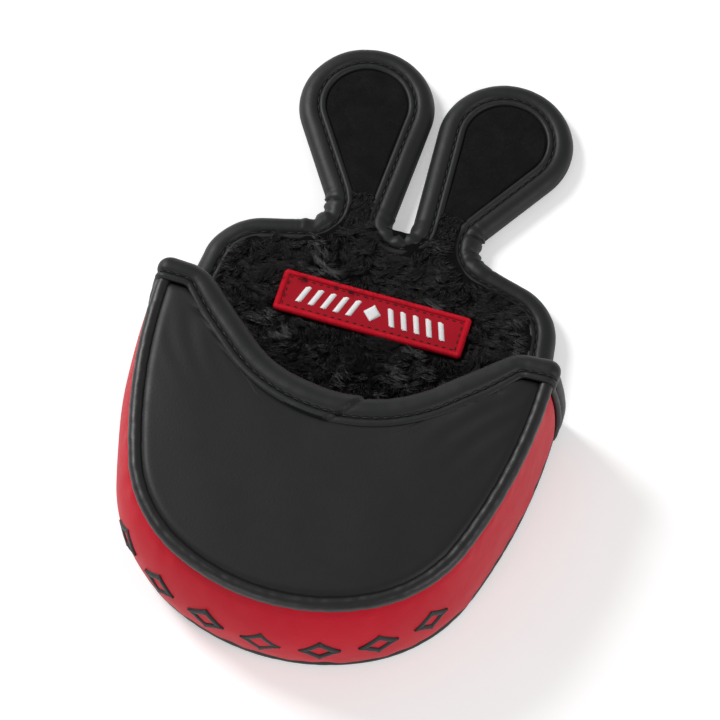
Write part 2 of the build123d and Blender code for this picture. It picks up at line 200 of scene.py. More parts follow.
WALL_BULGE = 6.4
WALL_X, WALL_Z, WALL_R = circle_through((1.6, 33.8), (WALL_BULGE, 16.0), (4.8, 3.0))


def wall_out(z):
    """How far the wall's outside would stand outside the piping's line if it were evenly full."""
    return WALL_X + np.sqrt(np.maximum(WALL_R**2 - (np.asarray(z) - WALL_Z) ** 2, 0))


RIM = rim_line(0.8, MOUTH_Y - 1.0)
RIM_HALF = RIM[: len(RIM) // 2 + 1]
BELT = belt_line(TONGUE_DISCS, 0.7)
BELT = BELT[: np.argmax(BELT[:, 0] <= 1e-6) + 1]
BELT[-1, 0] = 0.0


def fullness(x, y):
    """How full the wall is: most at the toe, drawn in towards the mouth, and flattest at the right."""
    even = 1.10 - 0.42 * step_up(y, TOE_Y + 8, FLANK_Y - 14) - 0.16 * step_up(y, FLANK_Y - 16, MOUTH_Y)
    pressed = step_up(x, 14, 50) * (1 - step_up(y, FLANK_Y - 12, MOUTH_Y - 4))
    return even - 0.62 * pressed


def wall_face(z, x, y, lift=0.0):
    """How far the wall's outside stands out at a height, where the rim's line is at x, y."""
    chord = np.interp(z, (3.0, 33.8), (4.8, 1.6))
    return chord + (wall_out(z) - chord) * fullness(x, y) + lift


# ---- making meshes ----
def clean_mesh(gap, close_ends):
    """Join the active piece's points that meet, close its ends, and turn its faces outwards."""
    bpy.ops.object.mode_set(mode="EDIT")
    bpy.ops.mesh.select_all(action="SELECT")
    bpy.ops.mesh.remove_doubles(threshold=gap)
    if close_ends:
        bpy.ops.mesh.fill_holes(sides=0)
    bpy.ops.mesh.normals_make_consistent(inside=False)
    bpy.ops.object.mode_set(mode="OBJECT")


def loft(name, rings):
    """A closed skin through a row of rings of points, each ring closed on itself."""
    rings = np.concatenate([rings, rings[:, :1]], axis=1)
    count, around = rings.shape[:2]
    bpy.ops.object.select_all(action="DESELECT")
    bpy.ops.mesh.primitive_grid_add(x_subdivisions=count - 1, y_subdivisions=around - 1, size=2)
    piece = bpy.context.object
    piece.name = piece.data.name = name
    place = np.empty(len(piece.data.vertices) * 3)
    piece.data.vertices.foreach_get("co", place)
    place = place.reshape(-1, 3)
    row = np.rint((place[:, 0] + 1) / 2 * (count - 1)).astype(int)
    column = np.rint((place[:, 1] + 1) / 2 * (around - 1)).astype(int)
    piece.data.vertices.foreach_set("co", (rings[row, column] * MM).ravel())
    clean_mesh(2e-6, True)
    bpy.ops.object.shade_smooth_by_angle(angle=radians(55))
    return piece


def tubes(name, lines, radius, sides=1):
    """Round threads along rows of points, all in one mesh."""
    curve = bpy.data.curves.new(name, "CURVE")
    curve.dimensions = "3D"
    curve.bevel_depth = radius * MM
    curve.bevel_resolution = sides
    curve.use_fill_caps = True
    for line in lines:
        spline = curve.splines.new("POLY")
        spline.points.add(len(line) - 1)
        rows = np.ones((len(line), 4))
        rows[:, :3] = np.asarray(line) * MM
        spline.points.foreach_set("co", rows.ravel())
        spline.use_smooth = True
    piece = bpy.data.objects.new(name, curve)
    bpy.context.scene.collection.objects.link(piece)
    bpy.ops.object.select_all(action="DESELECT")
    piece.select_set(True)
    bpy.context.view_layer.objects.active = piece
    bpy.ops.object.convert(target="MESH")
    piece = bpy.context.object
    piece.name = piece.data.name = name
    clean_mesh(1e-6, False)
    bpy.ops.object.shade_smooth()
    return piece


def pile(name, roots, leans, height, seed, blades, spread, thick=0.13):
    """Plush pile: tufts of fine tapered fibres that lean together, each a closed spike."""
    draw = np.random.default_rng(seed)
    count = len(roots)
    side = np.cross(UP, leans + np.array((0.013, 0.007, 0.011)))
    side /= np.linalg.norm(side, axis=1, keepdims=True)
    other = np.cross(UP, side)
    angle = draw.uniform(0, 2 * pi, (count, blades, 1))
    reach = spread * np.sqrt(draw.uniform(0, 1, (count, blades, 1)))
    offset = side[:, None] * np.cos(angle) * reach + other[:, None] * np.sin(angle) * reach
    root = roots[:, None] + offset - UP * 0.3
    tall = height * draw.uniform(0.55, 1.12, (count, blades, 1)) * draw.uniform(0.75, 1.2, (count, 1, 1))
    curl = draw.normal(0, 0.24, (count, blades, 3))
    tip = roots[:, None] + offset * 0.35 + leans[:, None] * tall * 0.9 + UP * tall * 0.5 + curl
    along = tip - root
    across = np.cross(along, draw.normal(0, 1, (count, blades, 3)))
    across *= thick / np.linalg.norm(across, axis=2, keepdims=True)
    length = np.linalg.norm(along, axis=2, keepdims=True)
    third = np.cross(along / length, across)
    corners = [
        root + across,
        root - across / 2 + third * 0.87,
        root - across / 2 - third * 0.87,
        tip,
    ]
    points = np.stack(corners, 2).reshape(-1, 3) * MM
    total = count * blades
    first = np.arange(total)[:, None, None] * 4
    faces = (first + np.array([(0, 1, 3), (1, 2, 3), (2, 0, 3), (0, 2, 1)])[None]).reshape(-1)
    mesh = bpy.data.meshes.new(name)
    mesh.vertices.add(total * 4)
    mesh.vertices.foreach_set("co", points.ravel())
    mesh.loops.add(total * 12)
    mesh.loops.foreach_set("vertex_index", faces)
    mesh.polygons.add(total * 4)
    mesh.polygons.foreach_set("loop_start", np.arange(total * 4) * 3)
    mesh.update(calc_edges=True)
    piece = bpy.data.objects.new(name, mesh)
    bpy.context.scene.collection.objects.link(piece)
    return piece


def dress(piece, material):
    """Give a piece its material."""
    piece.data.materials.clear()
    piece.data.materials.append(material)
    return piece


# ---- camera, light and floor ----
def point_at(thing, target):
    """Turn a camera or light to face a place."""
    thing.rotation_euler = (Vector(target) - thing.location).to_track_quat("-Z", "Y").to_euler()


AZIMUTH, ELEVATION, TILT, DISTANCE = radians(14.2), radians(64), radians(2.5), 1.0
target = Vector((-0.0001, MOUTH_Y * MM + 0.0012, 0))
camera = bpy.data.objects.new("camera", bpy.data.cameras.new("camera"))
camera.data.lens = 167
camera.data.sensor_width = 36
camera.data.clip_start = 0.05
camera.location = target + DISTANCE * Vector(
    (sin(AZIMUTH) * cos(ELEVATION), -cos(AZIMUTH) * cos(ELEVATION), sin(ELEVATION))
)
point_at(camera, target)
camera.rotation_euler.rotate_axis("Z", TILT)
bpy.context.scene.collection.objects.link(camera)
bpy.context.scene.camera = camera

for name, place, size, power in (
    ("key_light", (-0.90, 0.35, 0.85), 0.42, 11.0),
    ("right_light", (0.90, -0.25, 0.60), 0.50, 3.2),
    ("front_light", (-0.30, -1.05, 0.45), 0.60, 2.4),
):
    light = bpy.data.objects.new(name, bpy.data.lights.new(name, "AREA"))
    light.data.shape = "DISK"
    light.data.size = size
    light.data.energy = power
    light.location = place
    point_at(light, (0, 0, 0.02))
    bpy.context.scene.collection.objects.link(light)

world = bpy.data.worlds.new("studio")
world.use_nodes = True
world.node_tree.nodes["Background"].inputs["Color"].default_value = (1, 1, 1, 1)
world.node_tree.nodes["Background"].inputs["Strength"].default_value = 0.34
bpy.context.scene.world = world
bpy.context.scene.view_settings.view_transform = "Standard"


# ---- shared effects ----
def make_group(name, label, start):
    """A shader group with one number to set, places on the object, and its three results' node."""
    tree = bpy.data.node_groups.new(name, "ShaderNodeTree")
    amount = tree.interface.new_socket(name=label, in_out="INPUT", socket_type="NodeSocketFloat")
    amount.default_value = start
    for result in ("Height", "Tone", "Gloss"):
        tree.interface.new_socket(name=result, in_out="OUTPUT", socket_type="NodeSocketFloat")
    given = tree.nodes.new("NodeGroupInput").outputs[label]
    place = tree.nodes.new("ShaderNodeTexCoord").outputs["Object"]
    return tree, given, place, tree.nodes.new("NodeGroupOutput")


def fill_socket(tree, socket, value):
    """Give a socket another node's output, or a number."""
    if isinstance(value, bpy.types.NodeSocket):
        tree.links.new(value, socket)
    else:
        socket.default_value = value


def add_node(tree, kind, output, **inputs):
    """The named output of a new node whose inputs are given."""
    node = tree.nodes.new(kind)
    for label, value in inputs.items():
        fill_socket(tree, node.inputs[label.replace("_", " ")], value)
    return node.outputs[output]


def noise(tree, place, scale, **inputs):
    """A cloudy noise over places."""
    return add_node(tree, "ShaderNodeTexNoise", "Fac", Vector=place, Scale=scale, **inputs)


def wave(tree, direction, place, scale, **inputs):
    """Even bands over places, across a direction."""
    bands = add_node(tree, "ShaderNodeTexWave", "Fac", Vector=place, Scale=scale, **inputs)
    bands.node.bands_direction = direction
    return bands


def maths(tree, operation, first, second):
    """One sum of two values, each a number or another node's output."""
    node = tree.nodes.new("ShaderNodeMath")
    node.operation = operation
    for socket, value in zip(node.inputs, (first, second)):
        fill_socket(tree, socket, value)
    return node.outputs[0]


def wired(tree, result, height, tone, gloss):
    """The group, with its three results wired."""
    for label, value in (("Height", height), ("Tone", tone), ("Gloss", gloss)):
        tree.links.new(value, result.inputs[label])
    return tree


def make_grain():
    """Leather grain: pebbles with creases between them, and slow changes of tone and gloss."""
    tree, size, place, result = make_group("leather_grain", "Grain", 1100.0)
    pebble = add_node(tree, "ShaderNodeTexVoronoi", "Distance", Vector=place, Scale=size, Randomness=0.9)
    pebble.node.feature = "SMOOTH_F1"
    pebble.node.inputs["Smoothness"].default_value = 0.35
    crease = noise(tree, place, maths(tree, "MULTIPLY", size, 0.23), Detail=5.0, Roughness=0.6)
    height = maths(tree, "SUBTRACT", maths(tree, "MULTIPLY", crease, 0.9), pebble)
    slow, patchy = noise(tree, place, 38.0, Detail=3.0), noise(tree, place, 210.0, Detail=4.0)
    return wired(tree, result, height, slow, patchy)


def make_nap():
    """Short nap, as on plush or velvet: fine tips, and soft patches where it lies over."""
    tree, fineness, place, result = make_group("cloth_nap", "Fineness", 2600.0)
    tips = noise(tree, place, fineness, Detail=3.0, Roughness=0.7)
    lie = noise(tree, place, maths(tree, "MULTIPLY", fineness, 0.11), Detail=4.0, Distortion=0.6)
    height = maths(tree, "ADD", tips, maths(tree, "MULTIPLY", lie, 1.4))
    tone = maths(tree, "MULTIPLY", maths(tree, "MULTIPLY", tips, lie), 2.4)
    return wired(tree, result, height, tone, lie)


def make_twist():
    """Plies twisted together, as in a thread or a cord."""
    tree, pitch, place, result = make_group("thread_twist", "Pitch", 1500.0)
    ply = wave(tree, "DIAGONAL", place, pitch, Distortion=1.2, Detail=2.0)
    fluff = noise(tree, place, maths(tree, "MULTIPLY", pitch, 0.35), Detail=3.0)
    return wired(tree, result, ply, fluff, ply)


def make_twill():
    """Twill weave: raised diagonal lines, each broken into short floats."""
    tree, lines, place, result = make_group("twill_weave", "Lines", 380.0)
    line = wave(tree, "DIAGONAL", place, lines, Distortion=0.25, Detail=1.0)
    broken = wave(tree, "X", place, maths(tree, "MULTIPLY", lines, 1.7), Distortion=0.3)
    height = maths(tree, "ADD", line, maths(tree, "MULTIPLY", broken, 0.35))
    worn = noise(tree, place, 150.0, Detail=3.0)
    return wired(tree, result, height, maths(tree, "MULTIPLY", height, worn), line)


def finish_of(name, group, low, high, gloss, depth, strength=0.5, amount=None, sheen=None, **plain):
    """A material whose colour, roughness and relief vary through one of the shared groups."""
    material = bpy.data.materials.new(name)
    material.use_nodes = True
    tree = material.node_tree
    shader = tree.nodes["Principled BSDF"]
    effect = tree.nodes.new("ShaderNodeGroup")
    effect.node_tree = group
    if amount is not None:
        effect.inputs[0].default_value = amount
    colour = tree.nodes.new("ShaderNodeMix")
    colour.data_type = "RGBA"
    colour.inputs[6].default_value = (*low, 1)
    colour.inputs[7].default_value = (*high, 1)
    tree.links.new(effect.outputs["Tone"], colour.inputs[0])
    tree.links.new(colour.outputs[2], shader.inputs["Base Color"])
    rough = add_node(
        tree, "ShaderNodeMapRange", "Result", Value=effect.outputs["Gloss"], To_Min=gloss[0], To_Max=gloss[1],
    )
    tree.links.new(rough, shader.inputs["Roughness"])
    relief = effect.outputs["Height"]
    bump = add_node(tree, "ShaderNodeBump", "Normal", Strength=strength, Distance=depth * MM, Height=relief)
    tree.links.new(bump, shader.inputs["Normal"])
    if sheen:
        shader.inputs["Sheen Weight"].default_value = sheen[0]
        shader.inputs["Sheen Roughness"].default_value = sheen[1]
        shader.inputs["Sheen Tint"].default_value = (*sheen[2], 1)
    for label, value in plain.items():
        shader.inputs[label.replace("_", " ")].default_value = value
    return material


grain, nap, twist, twill = make_grain(), make_nap(), make_twist(), make_twill()
panel_leather = finish_of(
    "black_panel_leather", grain, (0.0060, 0.0062, 0.0068), (0.0092, 0.0095, 0.0103), (0.44, 0.56),
    0.05, 0.28, 1300.0, Specular_IOR_Level=0.35,
)
binding_leather = finish_of(
    "black_binding_leather", grain, (0.005, 0.0055, 0.006), (0.009, 0.0098, 0.0105), (0.46, 0.60),
    0.06, 0.40, 1200.0, Specular_IOR_Level=0.42,
)
piping_leather = finish_of(
    "black_piping_leather", grain, (0.005, 0.005, 0.0055), (0.008, 0.008, 0.0085), (0.38, 0.50),
    0.05, 0.30, 1400.0,
)
wall_leather = finish_of(
    "red_wall_leather", grain, (0.40, 0.0025, 0.013), (0.52, 0.004, 0.019), (0.44, 0.58), 0.07, 0.40, 1000.0,
    Specular_IOR_Level=0.14,
)
plush = finish_of(
    "black_plush", nap, (0.0010, 0.0009, 0.0010), (0.0045, 0.0036, 0.0037), (0.75, 0.95), 0.5, 0.6, 900.0,
    (0.02, 0.45, (0.55, 0.5, 0.5)), Specular_IOR_Level=0.10,
)
plush_fibre = finish_of(
    "black_plush_fibre", nap, (0.0020, 0.0017, 0.0018), (0.020, 0.0165, 0.016), (0.34, 0.52),
    0.05, 0.2, 420.0, (0.03, 0.4, (0.6, 0.52, 0.5)), Specular_IOR_Level=0.55,
)
velvet = finish_of(
    "black_velvet", nap, (0.0002, 0.0002, 0.0002), (0.0100, 0.0094, 0.0092), (0.80, 0.98), 0.30, 0.85, 1500.0,
    (0.045, 0.5, (0.6, 0.58, 0.56)), Specular_IOR_Level=0.12,
)
topstitch = finish_of(
    "black_topstitch_thread", twist, (0.002, 0.002, 0.0022), (0.007, 0.007, 0.0075), (0.6, 0.75), 0.05, 0.4,
)
wall_thread = finish_of(
    "black_embroidery_thread", twist, (0.006, 0.006, 0.007), (0.018, 0.018, 0.02), (0.38, 0.52), 0.05, 0.4,
)
border_thread = finish_of(
    "red_border_thread", twist, (0.55, 0.003, 0.018), (0.74, 0.008, 0.03), (0.55, 0.7), 0.05, 0.4,
    Specular_IOR_Level=0.2,
)
emblem_thread = finish_of(
    "white_emblem_thread", twist, (0.90, 0.90, 0.90), (0.96, 0.96, 0.96), (0.42, 0.55), 0.05, 0.3,
)
patch_twill = finish_of(
    "red_patch_twill", twill, (0.36, 0.003, 0.013), (0.46, 0.006, 0.02), (0.6, 0.75), 0.08, 0.35, 620.0,
    Specular_IOR_Level=0.15,
)
cord_twist = finish_of(
    "white_filler_cord", twist, (0.6, 0.58, 0.54), (0.75, 0.73, 0.69), (0.7, 0.85), 0.2, 0.6, 420.0,
)
nickel = finish_of(
    "nickel_plate", grain, (0.55, 0.54, 0.52), (0.66, 0.65, 0.63), (0.2, 0.34), 0.01, 0.1, 600.0,
    Metallic=1.0,
)
foam = finish_of("pale_foam", nap, (0.55, 0.54, 0.5), (0.7, 0.69, 0.65), (0.85, 0.95), 0.3, 0.5, 900.0)

for name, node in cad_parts.items():
    material = nickel if "magnet" in name else cord_twist if "cord" in name else foam
    node.data.materials.clear()
    node.data.materials.append(material)

floor_paper = finish_of(
    "pale_floor", nap, (0.86, 0.86, 0.86), (0.90, 0.90, 0.90), (0.6, 0.7), 0.05, 0.05, 30.0,
    Emission_Color=(1, 1, 1, 1), Emission_Strength=0.34,
)
bpy.ops.object.select_all(action="DESELECT")
bpy.ops.mesh.primitive_plane_add(size=12, location=(0, 0, -0.0002))
floor = bpy.context.object
floor.name = "floor"
floor.data.materials.append(floor_paper)


# ---- the pouch's top panel ----
FAN_CENTRE = np.array((0.0, -60.0))


def polar(points):
    """Angle and distance of points from the middle of the fan, in order of angle."""
    away = points - FAN_CENTRE
    angle, reach = np.arctan2(away[:, 1], away[:, 0]), np.hypot(away[:, 0], away[:, 1])
    order = np.argsort(angle)
    return angle[order], reach[order]


def panel_outline(rim_inset, mouth_inset, count):
    """Edge of a panel inside the piping and behind the crescent, as angles and distances."""
    full = rim_line(0.8, MOUTH_Y + 12)
    rim_angle, rim_reach = polar(full[:, :2] - full[:, 2:] * rim_inset)
    mouth = belt_line(MOUTH_DISCS, 0.5)
    mouth_angle, mouth_reach = polar(mouth[:, :2] + mouth[:, 2:4] * mouth_inset)
    angle = np.linspace(-pi, pi, count, endpoint=False)
    inside = np.interp(angle, rim_angle, rim_reach, period=2 * pi)
    ahead = np.where(
        (angle > mouth_angle[0]) & (angle < mouth_angle[-1]),
        np.interp(angle, mouth_angle, mouth_reach), 1000.0,
    )
    return angle, np.minimum(inside, ahead)


def fan_pad(name, angle, reach, shares, heights):
    """A closed pad over a fan; heights gives z from the place and its distances to the edge."""
    edge = FAN_CENTRE + np.stack([np.cos(angle), np.sin(angle)], 1) * reach[:, None]
    rings = []
    for share, height in zip(shares, heights):
        place = FAN_CENTRE + (edge - FAN_CENTRE) * share
        away = np.linalg.norm(place[:, None] - edge[None], axis=2)
        soft = np.mean((away + 0.5) ** -3.0, axis=1) ** (-1 / 3)
        rings.append(np.column_stack([place, height(*place.T, away.min(1), soft)]))
    return loft(name, np.array(rings))


def panel_face(x, y, inset, depth):
    """Height of the crowned top panel, with faint drag lines towards the mouth's right corner."""
    crown = 36.55 + 0.95 * (1 - np.exp(-((inset / 1.3) ** 2))) + 1.0 * (1 - np.exp(-depth / 30))
    drag = np.exp(-(((x - 42) / 15) ** 2 + ((y + 27) / 13) ** 2)) * step_up(inset, 0.5, 4)
    lines = np.sin(2 * pi * (0.80 * x - 0.6 * y + 1.6 * np.sin(y / 7)) / 6.5)
    left_drag = np.exp(-(((x + 44) / 11) ** 2 + ((y + 25) / 12) ** 2)) * step_up(inset, 0.5, 4)
    left_lines = np.sin(2 * pi * (0.85 * x + 0.5 * y + 1.3 * np.sin(y / 6)) / 6.0)
    soft = 0.06 * mottle(x, y, 26, 3) * step_up(inset, 0, 6)
    return crown + 0.13 * drag * lines + 0.07 * left_drag * left_lines + soft


angle, reach = panel_outline(1.2, 8.2, 320)
top_shares = 1 - (1 - np.linspace(0, 1, 46)) ** 1.7
under = np.array([1.0, 0.985, 0.93, 0.6, 0.3, 0.0])
top_panel = fan_pad(
    "top_panel", angle, reach, np.concatenate([top_shares, under]),
    [panel_face] * len(top_shares)
    + [lambda x, y, *far: 34.6 + 0 * x] + [lambda x, y, *far: 34.0 + 0 * x] * (len(under) - 1),
)
dress(top_panel, panel_leather)
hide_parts("top_skin", "top_foam")
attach(top_panel, "pouch")

angle, reach = panel_outline(1.0, 2.0, 220)
ceiling_shares = 1 - (1 - np.linspace(0, 1, 30)) ** 1.4
ceiling_plush = fan_pad(
    "ceiling_plush", angle, reach, np.concatenate([ceiling_shares, under]),
    [lambda x, y, *far: CEILING_Z + 0.25 * mottle(x, y, 7, 11)] * len(ceiling_shares)
    + [lambda x, y, *far: 33.6 + 0 * x] * len(under),
)
dress(ceiling_plush, plush)
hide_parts("top_lining")
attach(ceiling_plush, "pouch")


# ---- the wall, its plush and the pipings, swept round the toe ----
def round_rim(name, stations, outs, heights):
    """A closed section swept along the rim; outs and heights are station by point."""
    x = stations[:, 0:1] + stations[:, 2:3] * outs
    y = stations[:, 1:2] + stations[:, 3:4] * outs
    return loft(name, np.stack([x, y, heights + 0 * outs], 2))


wall_rim = rim_line(0.7, MOUTH_Y - 3.0)
wall_run = run_of(wall_rim[:, :2])[:, None]
wall_at = wall_rim[:, 0:1], wall_rim[:, 1:2]
turn = np.linspace(asin((1.9 - WALL_Z) / WALL_R), asin((34.9 - WALL_Z) / WALL_R), 46)
face_z = WALL_Z + WALL_R * np.sin(turn)
from_top, from_base = face_z[-1] - face_z, face_z - face_z[0]
face_out = wall_face(face_z[None], *wall_at)
pillow = 0.35 * step_up(from_top, 0, 3.5) * step_up(from_base, 0, 3.0) - 0.35
gather = (
    0.20 * ripple(wall_run, 8.0, 21) * np.exp(-((from_top - 2.5) / 3.0) ** 2)
    + 0.18 * ripple(wall_run, 9.0, 22) * np.exp(-((from_base - 2.2) / 2.8) ** 2)
    + 0.14 * mottle(wall_run, face_z * 1.3, 26, 23)
)
under_binding = 0.9 * step_up(wall_rim[:, 1:2], MOUTH_Y - 10.0, MOUTH_Y - 7.5)
inner_z = WALL_Z + (WALL_R - 3.3) * np.sin(turn[::-3])
inner_out = wall_face(inner_z[None], *wall_at, -3.3)
red_wall = round_rim(
    "red_wall", wall_rim,
    np.concatenate([face_out + pillow + gather - under_binding, inner_out], 1),
    np.concatenate([face_z, inner_z])[None],
)
dress(red_wall, wall_leather)
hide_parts("wall_skin", "wall_foam")
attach(red_wall, "pouch")

plush_z = np.linspace(5.5, 31.5, 30)
plush_out = wall_face(plush_z[None], *wall_at, -STACK) + 0.3 * mottle(wall_run, plush_z, 7, 31)
back_z = plush_z[::-4]
wall_plush = round_rim(
    "wall_plush", wall_rim,
    np.concatenate([plush_out, wall_face(back_z[None], *wall_at, -3.6)], 1),
    np.concatenate([plush_z, back_z])[None],
)
dress(wall_plush, plush)
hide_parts("wall_lining")
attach(wall_plush, "pouch")

piping_rim = rim_line(0.7, MOUTH_Y - 4.0)
piping_run = run_of(piping_rim[:, :2])[:, None]
around = np.linspace(0, 2 * pi, 22, endpoint=False)
for name, node, out, height, radius, seed in (
    ("upper_piping", "top_piping_cover", 0.0, TOP_PIPING_Z, TOP_PIPING_R, 41),
    ("base_piping", "base_piping_cover", BASE_PIPING_OUT, BASE_PIPING_Z, BASE_PIPING_R, 42),
):
    full = radius + 0.05 * ripple(piping_run, 5.0, seed) + 0.04 * mottle(piping_run, around * 3, 4, seed + 5)
    full = np.minimum(full, height) if name == "base_piping" else full
    piping = round_rim(name, piping_rim, out + full * np.cos(around), height + full * np.sin(around))
    dress(piping, piping_leather)
    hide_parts(node)
    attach(piping, "pouch")


# ---- bindings: leather folded round an edge, stitched near its lip ----
def folded(edge_out, edge_in, ahead, swell, width=1.0):
    """Rings of a binding. edge_out and edge_in are the edge on its two faces, ahead points out
    of the edge, swell adds to the lift, station by point, and width scales the insets."""
    up = edge_out - edge_in
    up = up / np.linalg.norm(up, axis=1, keepdims=True)
    inset, share, lift = FOLD.T
    place = (
        edge_in[:, None] + (edge_out - edge_in)[:, None] * share[None, :, None]
        + up[:, None] * lift[None, :, None]
        - ahead[:, None] * inset[None, :, None] * np.reshape(width, (-1, 1, 1))
    )
    nose = np.exp(-((inset / 1.6) ** 2))
    outward = up[:, None] * np.sign(share - 0.5 + 1e-9)[None, :, None] * (1 - nose)[None, :, None]
    outward = outward + ahead[:, None] * nose[None, :, None]
    return place + outward * swell[:, :, None]


# A binding's section round its edge: how far in from the edge, the share of the way from its
# inner face to its outer face, and how far it lifts. The stitches lie in its narrow groove.
FOLD = np.array([
    (8.25, 1, -1.15), (8.2, 1, -0.5), (7.95, 1, -0.12), (7.5, 1, 0.06), (6.95, 1, 0.08),
    (6.5, 1, -0.10), (6.2, 1, -0.52), (5.95, 1, -0.75), (5.7, 1, -0.52), (5.35, 1, -0.04),
    (4.8, 1, 0.24), (4.1, 1, 0.36), (3.3, 1, 0.34), (2.5, 1, 0.14), (1.75, 1, -0.24),
    (1.1, 1, -0.78), (0.6, 1, -1.42), (0.25, 1, -2.1), (0.05, 1, -2.8), (0.0, 0.5, 0.0),
    (0.05, 0, 2.6), (0.25, 0, 1.9), (0.6, 0, 1.25), (1.1, 0, 0.7), (1.75, 0, 0.3),
    (2.5, 0, 0.08), (4.0, 0, 0.0), (5.6, 0, 0.05), (6.8, 0, 0.0), (7.6, 0, 0.05),
    (8.1, 0, 0.35), (8.2, 0, 1.0), (7.2, 0.3, 0), (7.2, 0.7, 0),
])
FRONT = (FOLD[:, 1] == 1) & (FOLD[:, 0] < 8.1)
SEAM_INSET, STITCH_PITCH = 5.95, 3.0


def stitches(name, edge_out, edge_in, ahead, swell, width=1.0):
    """Topstitching along a binding's groove: each stitch dips into the leather at its ends."""
    up = edge_out - edge_in
    up = up / np.linalg.norm(up, axis=1, keepdims=True)
    line = edge_out - ahead * SEAM_INSET * np.reshape(width, (-1, 1)) + up * swell[:, None]
    run = run_of(line)
    columns = np.hstack([line, up])
    lines = []
    for start in np.arange(1.5, run[-1] - 3.2, STITCH_PITCH):
        rows = at_runs(columns, run, start + np.array([0.0, 0.28, 0.7, 1.15, 1.6, 2.02, 2.3]))
        rise = np.array([-1.1, -0.62, -0.36, -0.30, -0.36, -0.62, -1.1])
        lines.append(rows[:, :3] + rows[:, 3:] * rise[:, None])
    piece = tubes(name, lines, 0.27)
    return dress(piece, topstitch)


# the mouth: up the wall's right end, over the corner and along half the crescent, then mirrored
climb_z = np.linspace(1.0, 32.6, 52)
climb_out = RIM_HALF_WIDTH + wall_face(climb_z, RIM_HALF_WIDTH, MOUTH_Y, 0.75)
low = np.clip(climb_z, FLOOR_Z, CEILING_Z)
climb_in = RIM_HALF_WIDTH + wall_face(low, RIM_HALF_WIDTH, MOUTH_Y, -STACK - 0.9)
corner_turn = np.radians(np.linspace(-12, 90, 16))
over_x = RIM_HALF_WIDTH - 0.1 + 3.0 * np.cos(corner_turn)
over_z = TOP_PIPING_Z - 0.1 + 3.0 * np.sin(corner_turn)
crest_z = over_z[-1]
mouth = belt_line(MOUTH_DISCS, 0.6)
mouth = mouth[(mouth[:, 0] < over_x[-1] - 0.4) & (mouth[:, 0] > 0.0)]
settle = step_up(over_x[-1] - mouth[:, 0], 0, 12)
level = crest_z + (COVER_HEIGHT + 0.1 - crest_z) * settle
edge_out = np.vstack([
    np.stack([climb_out, 0 * climb_z + MOUTH_Y, climb_z], 1),
    np.stack([over_x, 0 * over_x + MOUTH_Y, over_z], 1),
    np.stack([mouth[:, 0], mouth[:, 1], level], 1),
])
edge_in = np.vstack([
    np.stack([climb_in, 0 * low + MOUTH_Y, low], 1),
    np.tile((climb_in[-1], MOUTH_Y, CEILING_Z), (len(over_x), 1)),
    np.stack([np.minimum(mouth[:, 0], climb_in[-1]), mouth[:, 1], 0 * level + CEILING_Z], 1),
])
ahead = np.vstack([
    np.tile((0.0, 1.0, 0.0), (len(climb_out) + len(over_x), 1)),
    np.stack([-mouth[:, 2], -mouth[:, 3], 0 * level], 1),
])
mirror = np.array((-1.0, 1.0, 1.0))
edge_out, edge_in, ahead = (
    np.vstack([half, half[::-1] * mirror]) for half in (edge_out, edge_in, ahead)
)
mouth_run = run_of(edge_out)
middle_run = mouth_run[-1] / 2
from_end = np.minimum(mouth_run, mouth_run[-1] - mouth_run)
width = 1 + 0.2 * step_up(from_end, 46, 66)
inset = FOLD[:, 0][None]
past = mouth_run[:, None]
lap = middle_run - 9.0 + 1.05 * inset
overlap = 0.85 * step_up(past, lap, lap + 0.7) * (1 - step_up(past, middle_run + 3, middle_run + 26))
overlap -= 0.35 * np.exp(-(((past - lap + 0.4) / 0.6) ** 2))
swell = 0.09 * mottle(past, inset * 2, 16, 51) + 0.025 * ripple(past, 6.0, 52) + overlap
swell = swell * FRONT[None]
mouth_binding = loft("mouth_binding_roll", folded(edge_out, edge_in, ahead, swell, width))
dress(mouth_binding, binding_leather)
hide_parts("mouth_binding")
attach(mouth_binding, "pouch")
seam_point = np.argmin(np.abs(FOLD[:, 0] - SEAM_INSET) + 10 * (1 - FOLD[:, 1]))
mouth_stitches = stitches("mouth_topstitch", edge_out, edge_in, ahead, swell[:, seam_point], width)
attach(mouth_stitches, "pouch")


# ---- the tongue: flap and ears ----
def half_edge(inset):
    """x and y of the right half's edge, moved inwards, up its outside and down its inside."""
    line = BELT[:, :2] + BELT[:, 2:4] * inset
    top = np.argmax(line[:, 1])
    return line[: top + 1], line[top:][::-1]


def outer_x(y, inset):
    """The tongue's outer edge at y, moved inwards."""
    line = half_edge(inset)[0]
    return np.interp(y, line[:, 1], line[:, 0])


def inner_x(y, inset):
    """The ear's inner edge at y, moved into the ear."""
    line = half_edge(inset)[1]
    return np.interp(y, line[:, 1], line[:, 0])


def rim_x(y, outset):
    """The pouch's right side at y, moved outwards from the upper piping's line."""
    line = RIM_HALF[:, :2] + RIM_HALF[:, 2:] * outset
    return np.interp(y, line[::-1, 1], line[::-1, 0])


def slab(name, ys, left, right, under, face, across=40):
    """A closed layer between two side lines; under and face give its two faces' z from x and y."""
    share = (1 - np.cos(np.linspace(0, pi, across))) / 2
    x = left[:, None] + (right - left)[:, None] * share
    y = ys[:, None] + 0 * x
    low = np.stack([x, y, under(x, y)], 2)
    high = np.stack([x, y, face(x, y)], 2)
    return loft(name, np.concatenate([low, high[:, ::-1]], 1))


def tongue_width(y, pouch_outset, inset, start, end):
    """Half width of a layer that runs from the pouch's floor on to the flap."""
    share = step_up(y, start, end)
    floor = rim_x(np.minimum(y, MOUTH_Y - 1), pouch_outset)
    return floor * (1 - share) + outer_x(np.maximum(y, MOUTH_Y - 9.9), inset) * share


